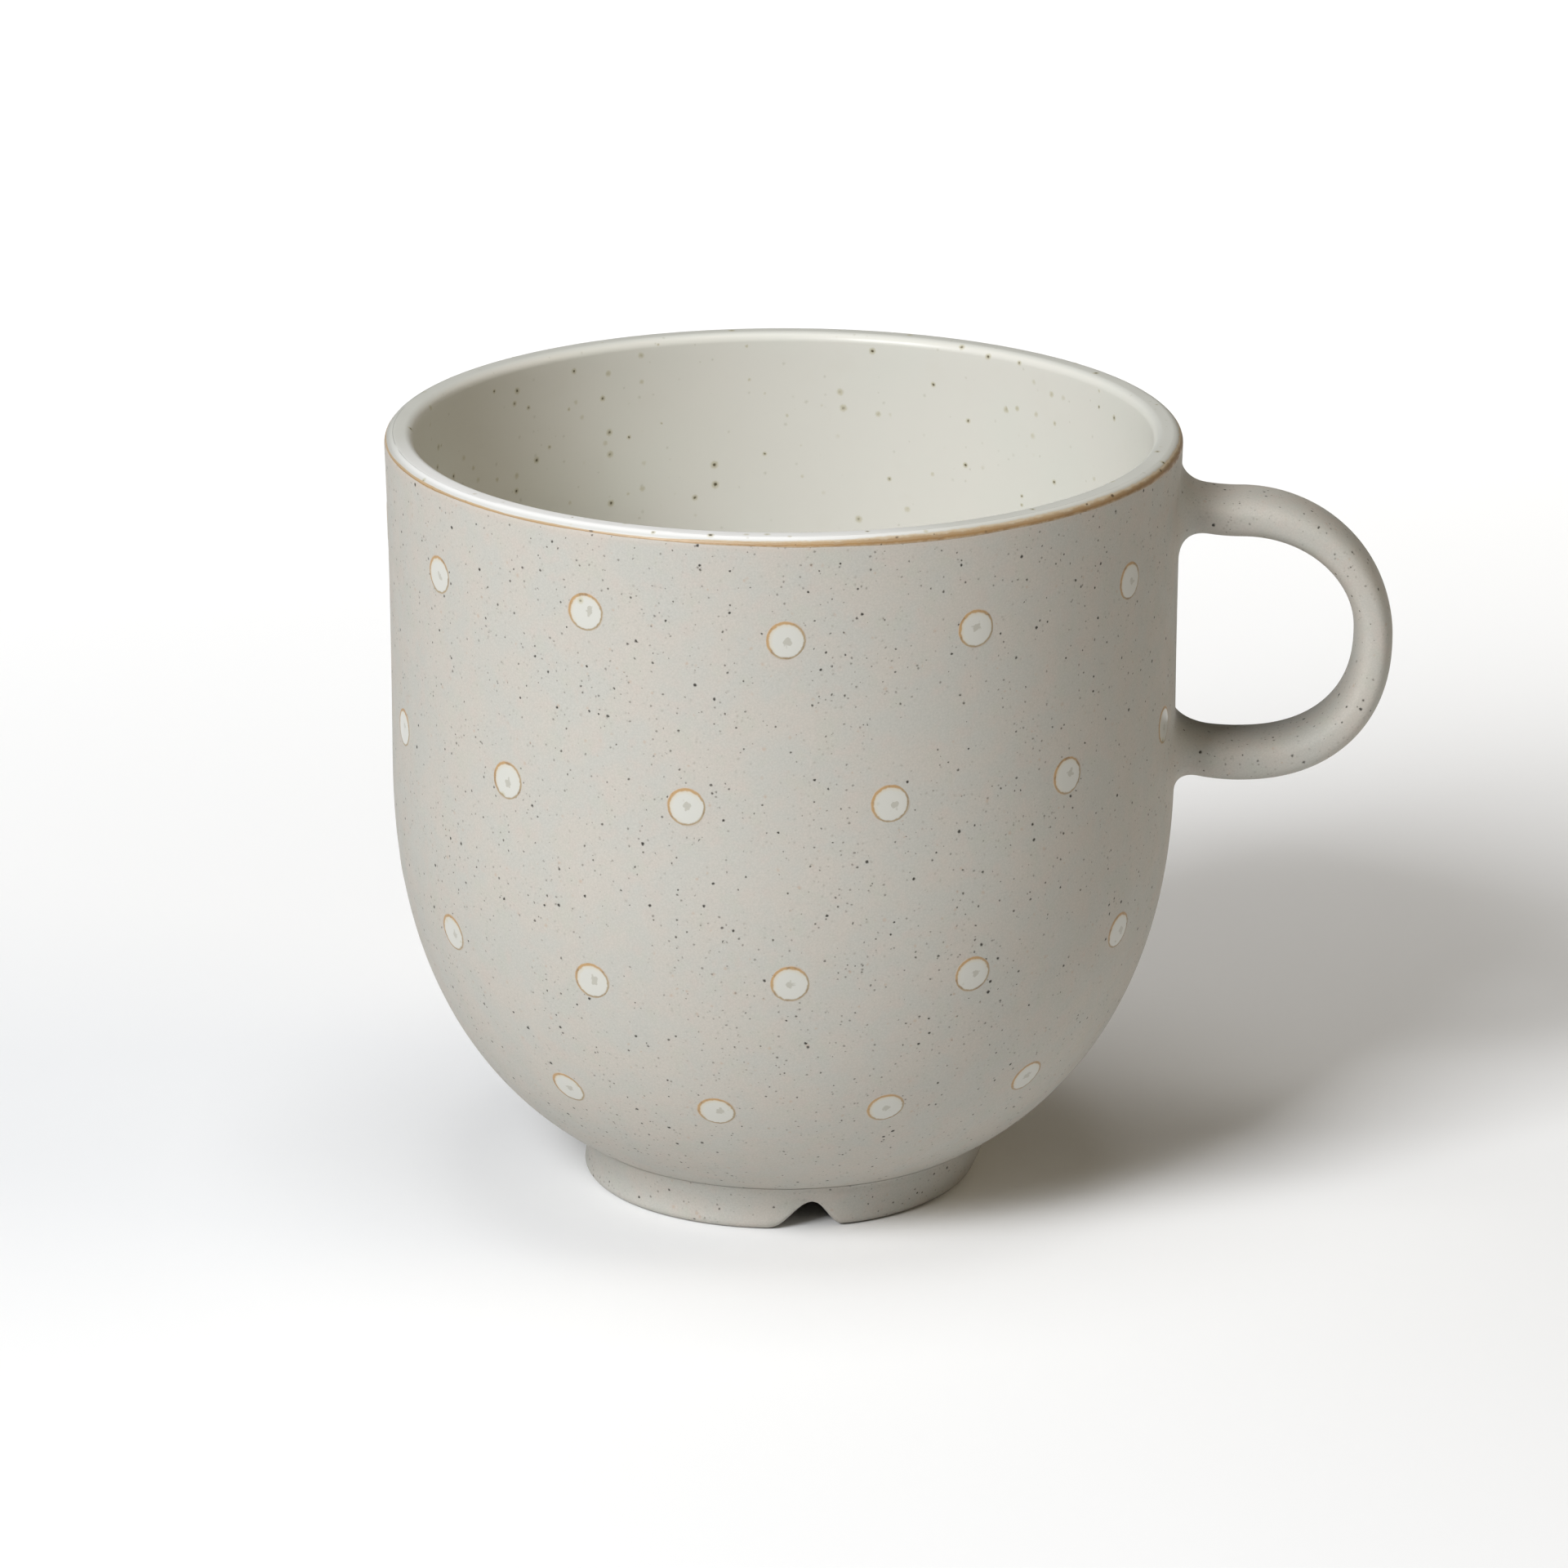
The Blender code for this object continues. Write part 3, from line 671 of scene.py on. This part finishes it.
def edge_limits(azimuth):
    """Lower and upper limit of the toasted line at this azimuth."""
    broad = edge_breadth(azimuth)
    middle = EDGE_MIDDLE - EDGE_DROP * broad + wave(azimuth, EDGE_WANDER)
    half = EDGE_HALF_THIN + (EDGE_HALF_BROAD - EDGE_HALF_THIN) * broad + wave(azimuth, EDGE_SWELL)
    return middle - half, middle + half


def lip_outer_radius(z):
    """Radius of the lip's outer round at height z."""
    rise = min(LIP_OUTER_ROUND, max(0.0, z - OUTER_CENTER[1]))
    return OUTER_CENTER[0] + math.sqrt(LIP_OUTER_ROUND ** 2 - rise ** 2)


def lip_over(inset, start, steps):
    """From an angle on the lip's outer round, over its flat top, to the inner wall."""
    points = arc_points(OUTER_CENTER, LIP_OUTER_ROUND - inset, start, math.pi / 2, steps)
    points += arc_points(INNER_CENTER, LIP_INNER_ROUND - inset, math.pi / 2, math.pi, steps // 2)
    return points


def underside_points():
    """Turned underside inside the foot ring, with faint trimming rings, axis to crease."""
    points = [(0.0, CREASE_Z)]
    edge = outer_radius(CREASE_Z)
    for step in range(1, UNDERSIDE_STEPS):
        r = edge * step / UNDERSIDE_STEPS
        fade = max(0.0, 1.0 - (r / FOOT_INNER_RADIUS) ** 8)
        points.append((r, CREASE_Z + TRIM_HEIGHT * fade * math.cos(2 * math.pi * r / TRIM_PITCH)))
    return points


def build_cup(clay):
    inset = GLAZE_THICKNESS + SKIN_GAP
    profile = underside_points()
    profile += outer_points(CREASE_Z)
    round_start = len(profile) - 1
    round_steps = 5
    profile += [(RIM_RADIUS, OUTER_CENTER[1])] * round_steps
    profile += lip_over(inset, CLAY_TUCK, LIP_BACK_STEPS)
    profile += bowl_points(RIM_RADIUS - LIP_WIDTH + inset, INSIDE_FLOOR_Z - inset, BOWL_BACK_STEPS)

    def follow(azimuth, index, radius, z):
        """Carries the clay up the lip's round until it is just under the toasted line."""
        if round_start < index <= round_start + round_steps:
            rise = max(0.01 * MM, edge_limits(azimuth)[0] + 0.05 * MM - OUTER_CENTER[1])
            z = OUTER_CENTER[1] + rise * (index - round_start) / round_steps
            radius = lip_outer_radius(z)
        return radius, z

    verts, faces = lathe(profile, closed=False, shape=follow)
    make_piece("cup_wall", verts, faces, clay, "stoneware", "mug_body")


def build_glaze_coat(glaze):
    """Glaze over the inside and the lip; its lower edge outside follows the toasted line."""
    inner_radius = RIM_RADIUS - LIP_WIDTH
    back_radius = inner_radius + GLAZE_THICKNESS
    wall = line_points((inner_radius, SHOULDER_Z), (inner_radius, INNER_CENTER[1]), INNER_WALL_STEPS)
    inside = bowl_points(inner_radius, INSIDE_FLOOR_Z, BOWL_STEPS)[::-1] + wall[1:-1]
    over = lip_over(0.0, GLAZE_STOP, LIP_STEPS)[::-1]
    back = lip_over(GLAZE_THICKNESS, GLAZE_STOP, LIP_BACK_STEPS)
    under = bowl_points(back_radius, INSIDE_FLOOR_Z - GLAZE_THICKNESS, BOWL_BACK_STEPS)
    profile = inside + over + back + under
    first_over = len(inside)
    last_over = first_over + len(over) - 1
    start_z = over[-1][1]

    def follow(azimuth, index, radius, z):
        """Slides the outer round's points so that the last one meets the toasted line."""
        if first_over <= index <= last_over + 1 and radius > OUTER_CENTER[0] + 0.3 * MM:
            share = min(1.0, max(0.0, (HEIGHT - z) / (HEIGHT - start_z)))
            z += (edge_limits(azimuth)[1] - 0.04 * MM - start_z) * share
            if index <= last_over:
                radius = lip_outer_radius(z)
        return radius, z

    verts, faces = lathe(profile, closed=False, shape=follow)
    faces = [face[::-1] for face in faces]
    piece = make_piece("glaze_coat", verts, faces, glaze, "glaze", "interior_glaze")
    warmth = []
    outer_round = []
    lip_light_values = []
    for x, y, z in verts:
        azimuth = math.atan2(x - AXIS_X, -y)
        above = z - edge_limits(azimuth)[1]
        outside = math.hypot(x - AXIS_X, y) > OUTER_CENTER[0] + 0.1 * MM
        reach = WARM_REACH_THIN + (WARM_REACH_BROAD - WARM_REACH_THIN) * edge_breadth(azimuth)
        warmth.append(max(0.0, 1.0 - above / reach) if outside else 0.0)
        outer_round.append(1.0 if outside else 0.0)
        # painted light on the lip, lightest toward the key light
        lip_light_values.append(lip_painted_light(azimuth))
    give_attribute(piece, "edge_warmth", warmth)
    give_attribute(piece, "outer_round", outer_round)
    give_attribute(piece, "lip_painted_light", lip_light_values)


def build_toasted_edge(toasted):
    """Thin swollen line of burnt glaze along the lip's outer round, a hair proud of it."""
    profile = [(0.0, step / EDGE_STEPS) for step in range(EDGE_STEPS + 1)]
    profile += [(-GLAZE_THICKNESS, 1.0), (-GLAZE_THICKNESS, 0.0)]

    def follow(azimuth, index, depth, share):
        """Turns a depth under the lip's surface and a share of the line's breadth into a point."""
        low, high = edge_limits(azimuth)
        proud = EDGE_PROUD * math.sin(math.pi * share) ** 0.7 if depth == 0.0 else 0.0
        z = low + (high - low) * share
        return lip_outer_radius(z) + proud + depth, z

    verts, faces = lathe(profile, closed=True, shape=follow)
    piece = make_piece("toasted_line", verts, faces, toasted, "toasted_edge", "rim_edge_band")
    places = []
    for x, y, z in verts:
        azimuth = math.atan2(x - AXIS_X, -y)
        low, high = edge_limits(azimuth)
        places.append((azimuth * RIM_RADIUS, (z - low) / (high - low), 0.5 + 0.5 * math.sin(azimuth)))
    give_attribute(piece, "edge_place", places)


# ---------------------------------------------------------------- foot

def notch_lift(azimuth):
    """How far the ring's resting edge rises into a drain notch at this azimuth."""
    for index in range(NOTCH_COUNT):
        middle = NOTCH_AZIMUTH + 2 * math.pi * index / NOTCH_COUNT
        turn = (azimuth - middle + math.pi) % (2 * math.pi) - math.pi
        reach, power = NOTCH_STEEP_SIDE if turn > 0.0 else NOTCH_GENTLE_SIDE
        away = min(1.0, abs(turn) * FOOT_RADIUS / reach)
        wear = max(0.0, 1.0 - turn * FOOT_RADIUS / NOTCH_WORN_REACH) ** 2 if turn > 0.0 else 0.0
        if away < 1.0 or wear > 0.0:
            arch = (NOTCH_HEIGHT - NOTCH_WORN * wear) * (0.5 + 0.5 * math.cos(math.pi * away)) ** power
            return arch + NOTCH_WORN * wear
    return 0.0


def handle_side(azimuth):
    """0 on the side away from the handle, 1 at it, passing smoothly round the cup."""
    return (0.5 + 0.5 * math.sin(azimuth)) ** 2


def build_foot(clay):
    top = CREASE_Z + 0.9 * MM
    inner_round = 0.6 * MM
    inner_center = (FOOT_INNER_RADIUS + inner_round, inner_round)
    outer_center = (FOOT_RADIUS - FOOT_ROUND, FOOT_ROUND)
    neck = FOOT_TOP_RADIUS - 0.05 * MM
    fillet = 1.0 * MM
    flare = 0.3 * MM
    steps = 8
    profile = line_points((FOOT_INNER_RADIUS - 0.2 * MM, top), (FOOT_INNER_RADIUS, inner_round), 10)
    profile += arc_points(inner_center, inner_round, math.pi, 1.5 * math.pi, 6)[1:]
    outer_start = len(profile)
    profile += arc_points(outer_center, FOOT_ROUND, -math.pi / 2, 0.0, steps)
    profile += line_points((FOOT_RADIUS, FOOT_ROUND), (neck, CREASE_Z - fillet), steps)[1:]
    for step in range(1, steps + 1):
        share = step / steps
        out = flare * (1.0 - math.sqrt(max(0.0, 1.0 - share ** 2)))
        profile.append((neck + out, CREASE_Z - fillet + fillet * share))
    profile.append((FOOT_TOP_RADIUS - 1.0 * MM, top))

    def notched(azimuth, index, radius, z):
        """Leans and waists the outer side, and lifts the resting edge into the notches."""
        share = max(0.0, 1.0 - z / (CREASE_Z - 0.6 * MM))
        if index >= outer_start:
            side = handle_side(azimuth)
            radius -= FOOT_LEAN * side * share ** 1.5
            radius -= FOOT_WAIST * (1.0 - side) * math.sin(math.pi * min(1.0, z / CREASE_Z)) ** 2
        return radius, z + notch_lift(azimuth) * share

    verts, faces = lathe(profile, closed=True, shape=notched)
    make_piece("foot", verts, faces, clay, "stoneware", "foot_ring")


# ---------------------------------------------------------------- handle

def root_spread(root, sine, distance):
    """Extra half size of the section at this distance from the wall and in this direction."""
    side = root["inner"] if sine > 0.0 else root["outer"]
    weight = abs(sine) ** 1.5
    spread = root["flank"][0] * (1.0 - weight) + side[0] * weight
    length = root["flank"][1] * (1.0 - weight) + side[1] * weight
    near = min(1.0, max(0.0, 1.0 - distance / length))
    return spread * (1.0 - (1.0 - near ** ROOT_POWER) ** (1.0 / ROOT_POWER))


def handle_path():
    """Middle line as (x, z, inward x, inward z, root)."""
    arc_width = HANDLE_REACH - ARC_CENTER_X - BOW_HALF_THICKNESS
    arm = [(WALL_RADIUS - ROOT_DEPTH, ROOT_RISE)]
    for step in range(ARM_STEPS):
        share = (step / ARM_STEPS) ** 2.0
        arm.append((WALL_RADIUS + (ARC_CENTER_X - WALL_RADIUS) * share, ROOT_RISE * (1.0 - share) ** 2))
    path = [(x, ARC_CENTER_Z + ARC_HEIGHT + rise, 0.0, -1.0, UPPER_ROOT) for x, rise in arm]
    for step in range(ARC_STEPS + 1):
        angle = math.pi / 2 - math.pi * step / ARC_STEPS
        bow = UPPER_BOW if angle > 0.0 else LOWER_BOW
        out = max(0.0, math.cos(angle)) ** (2.0 / bow)
        up = signed_power(math.sin(angle), 2.0 / bow)
        normal = Vector((out ** (bow - 1.0) / arc_width, signed_power(up, bow - 1.0) / ARC_HEIGHT))
        inward = -normal.normalized()
        x = ARC_CENTER_X + arc_width * out
        root = UPPER_ROOT if angle > 0.0 else LOWER_ROOT
        path.append((x, ARC_CENTER_Z + ARC_HEIGHT * up, inward.x, inward.y, root))
    path += [(x, ARC_CENTER_Z - ARC_HEIGHT + rise, 0.0, 1.0, LOWER_ROOT) for x, rise in reversed(arm)]
    return path


def half_thickness(z):
    """The strap is thinnest at the middle of its bow and thicker in both arms."""
    share = min(1.0, abs(z - ARC_CENTER_Z) / ARC_HEIGHT)
    arm = TOP_HALF_THICKNESS if z > ARC_CENTER_Z else LOW_HALF_THICKNESS
    return BOW_HALF_THICKNESS + (arm - BOW_HALF_THICKNESS) * share ** 3


def strap_point(station, angle):
    """Point of the strap's section at one station of its path; near the wall it takes on its curve."""
    x, z, inward_x, inward_z, root = station
    distance = max(0.0, x - WALL_RADIUS)
    on_arm = x <= ARC_CENTER_X
    cosine, sine = math.cos(angle), math.sin(angle)
    spread = root_spread(root, sine, distance) if on_arm else 0.0
    across = (HANDLE_HALF_WIDTH + spread) * signed_power(cosine, 2.0 / SECTION_POWER)
    inward = (half_thickness(z) + spread) * signed_power(sine, 2.0 / SECTION_POWER)
    high = z + inward * inward_z
    close = max(0.0, 1.0 - distance / ROOT_FIT) ** 2
    wall = math.sqrt(outer_radius(high) ** 2 - across ** 2)
    slide = (wall - WALL_RADIUS) * close if on_arm else 0.0
    return (AXIS_X + x + inward * inward_x + slide, across, high)


def build_handle(clay):
    path = handle_path()
    angles = [2 * math.pi * point / SECTION_POINTS for point in range(SECTION_POINTS)]
    verts = [strap_point(station, angle) for station in path for angle in angles]
    faces = []
    for ring in range(len(path) - 1):
        low, high = ring * SECTION_POINTS, (ring + 1) * SECTION_POINTS
        for point in range(SECTION_POINTS):
            after = (point + 1) % SECTION_POINTS
            faces.append((low + point, low + after, high + after, high + point))
    faces.append(tuple(range(SECTION_POINTS))[::-1])
    faces.append(tuple(range((len(path) - 1) * SECTION_POINTS, len(path) * SECTION_POINTS)))
    make_piece("handle_strap", verts, faces, clay, "stoneware", "handle")


# ---------------------------------------------------------------- dots

def on_wall(azimuth, z, along, up, offset):
    """Point on the outer wall, moved by (along, up) over the surface and offset out of it."""
    radial, vertical = outer_normal(z)
    high = z + up * radial
    radius = outer_radius(high)
    out, rise = outer_normal(high)
    return place(radius + offset * out, azimuth + along / radius, high + offset * rise)


def dot_height(share):
    """Height of the glaze at this share of the dot's radius: full, with a steep rolled edge."""
    return DOT_DOME * max(0.0, 1.0 - share ** 4) ** 0.7


def dot_mesh(azimuth, z, seed):
    """One dot, a closed lens half sunk into the clay: its points, faces and places on the dot."""
    outline = ((2, 0.020, seed * 1.7), (3, 0.015, seed * 2.9), (5, 0.008, seed * 4.1))
    verts = []
    places = []
    faces = []

    def put(along, up, offset, undercut=1.0):
        verts.append(on_wall(azimuth, z, along * undercut, up * undercut, offset))
        places.append((along, up, seed * 0.01))

    def put_ring(share, offset, undercut=1.0):
        for point in range(DOT_SEGMENTS):
            angle = 2 * math.pi * point / DOT_SEGMENTS
            radius = DOT_RADIUS * share * (1.0 + wave(angle, outline))
            put(radius * math.cos(angle), radius * math.sin(angle), offset, undercut)

    for ring in range(1, DOT_RINGS + 1):
        share = math.sin(ring / DOT_RINGS * math.pi / 2)
        put_ring(share, dot_height(share) - DOT_SINK)
    put_ring(1.0, -DOT_DEPTH, DOT_UNDERCUT)
    top, under = len(verts), len(verts) + 1
    put(0.0, 0.0, DOT_DOME - DOT_SINK)
    put(0.0, 0.0, -DOT_DEPTH)

    last = DOT_RINGS * DOT_SEGMENTS
    for inner in range(0, last, DOT_SEGMENTS):
        outer = inner + DOT_SEGMENTS
        for point in range(DOT_SEGMENTS):
            after = (point + 1) % DOT_SEGMENTS
            faces.append((inner + point, outer + point, outer + after, inner + after))
    for point in range(DOT_SEGMENTS):
        after = (point + 1) % DOT_SEGMENTS
        faces.append((point, after, top))
        faces.append((last + after, last + point, under))
    return verts, faces, places


def build_dot_row(row, nodes, material):
    """All the dots of one row, each where its CAD node stands."""
    verts = []
    faces = []
    places = []
    for index, node in enumerate(nodes):
        x, y, z = [(low + high) / 2 for low, high in zip(*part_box(node))]
        dot_verts, dot_faces, dot_places = dot_mesh(math.atan2(x - AXIS_X, -y), z, row * 20 + index)
        faces += [tuple(len(verts) + corner for corner in face) for face in dot_faces]
        verts += dot_verts
        places += dot_places
    piece = make_piece("dots_row_%d" % row, verts, faces, material, "glaze", *nodes)
    give_attribute(piece, "dot_place", places)


def build_dots(material):
    """Groups the CAD's dots by the row in their names and builds each row."""
    rows = {}
    for node in sorted(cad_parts):
        if node.startswith("glaze_dot_row"):
            rows.setdefault(int(node[len("glaze_dot_row")]), []).append(node)
    for row, nodes in sorted(rows.items()):
        build_dot_row(row, nodes, material)


# ---------------------------------------------------------------- studio

# Camera, measured from the cup's axis and the table
CAMERA_DISTANCE = 935.9 * MM
CAMERA_SIDE = 0.04 * MM
CAMERA_HEIGHT = 346.25 * MM
CAMERA_PITCH = 0.31052
CAMERA_LENS = 197.4
SENSOR_WIDTH = 36.0

FLOOR_HALF = 3.0
WHITE = (1.0, 1.0, 1.0)
AIR_COLOUR = (1.0, 0.88, 0.70)
AIR_STRENGTH = 0.02
# Azimuth and elevation in degrees, a side in metres, power in watts, colour
SOFTBOXES = {
    "key_light": (-38, 37, 0.48, 15.7, (0.98, 1.0, 1.035)),
    "side_light": (80, 35, 0.6, 2.1, (1.0, 0.86, 0.64)),
    "top_light": (0, 86, 0.6, 4.2, WHITE),
}
SOFTBOX_DISTANCE = 1.2
BACKDROP_PLACE = (0.35, 0.9)            # behind the mug and above the floor
BACKDROP_AWAY = (0.0, -0.93, 0.36)
BACKDROP_SIZE = (1.2, 0.4)
BACKDROP_POWER = 15.0


def add_camera():
    data = bpy.data.cameras.new("photo_camera")
    data.sensor_width = SENSOR_WIDTH
    data.lens = CAMERA_LENS
    data.clip_start = 0.05
    data.clip_end = 20.0
    camera = bpy.data.objects.new("photo_camera", data)
    camera.location = (AXIS_X + CAMERA_SIDE, -CAMERA_DISTANCE, CAMERA_HEIGHT)
    camera.rotation_euler = (math.pi / 2 - CAMERA_PITCH, 0.0, 0.0)
    bpy.context.scene.collection.objects.link(camera)
    bpy.context.scene.camera = camera


def add_area_light(name, place, away, width, height, power, colour):
    """Rectangular light at a place; it shines against the away direction."""
    data = bpy.data.lights.new(name, "AREA")
    data.shape = "RECTANGLE"
    data.size = width
    data.size_y = height
    data.energy = power
    data.color = colour
    light = bpy.data.objects.new(name, data)
    light.location = place
    light.rotation_euler = away.to_track_quat("Z", "Y").to_euler()
    bpy.context.scene.collection.objects.link(light)


def add_softbox(name, azimuth, elevation, size, power, colour):
    """Square light that faces the mug's middle."""
    turn, lift = math.radians(azimuth), math.radians(elevation)
    middle = Vector((AXIS_X, 0.0, HEIGHT / 2))
    toward = Vector((math.sin(turn) * math.cos(lift), -math.cos(turn) * math.cos(lift), math.sin(lift)))
    add_area_light(name, middle + toward * SOFTBOX_DISTANCE, toward, size, size, power, colour)


def add_backdrop_light():
    """Wide light above the mug that faces away from it and whitens the floor behind."""
    place = Vector((AXIS_X, *BACKDROP_PLACE))
    add_area_light("backdrop_light", place, Vector(BACKDROP_AWAY), *BACKDROP_SIZE, BACKDROP_POWER, WHITE)


def add_floor():
    half = FLOOR_HALF
    mesh = bpy.data.meshes.new("studio_floor")
    corners = [(-half, -half, 0.0), (half, -half, 0.0), (half, half, 0.0), (-half, half, 0.0)]
    mesh.from_pydata(corners, [], [(0, 1, 2, 3)])
    mesh.materials.append(floor_material())
    floor = bpy.data.objects.new("studio_floor", mesh)
    bpy.context.scene.collection.objects.link(floor)


def add_air():
    """Faint warm light from all round."""
    world = bpy.data.worlds.new("studio_air")
    bpy.context.scene.world = world
    world.use_nodes = True
    background = world.node_tree.nodes["Background"]
    background.inputs["Color"].default_value = opaque(AIR_COLOUR)
    background.inputs["Strength"].default_value = AIR_STRENGTH


def add_studio():
    add_floor()
    add_air()
    for name, softbox in SOFTBOXES.items():
        add_softbox(name, *softbox)
    add_backdrop_light()


# ---------------------------------------------------------------- build

add_camera()
clay = clay_material()
glaze = glaze_material()
build_cup(clay)
build_foot(clay)
build_handle(clay)
build_glaze_coat(glaze)
build_toasted_edge(toasted_material())
build_dots(dot_material())
add_studio()
bpy.context.scene.view_settings.view_transform = "Standard"
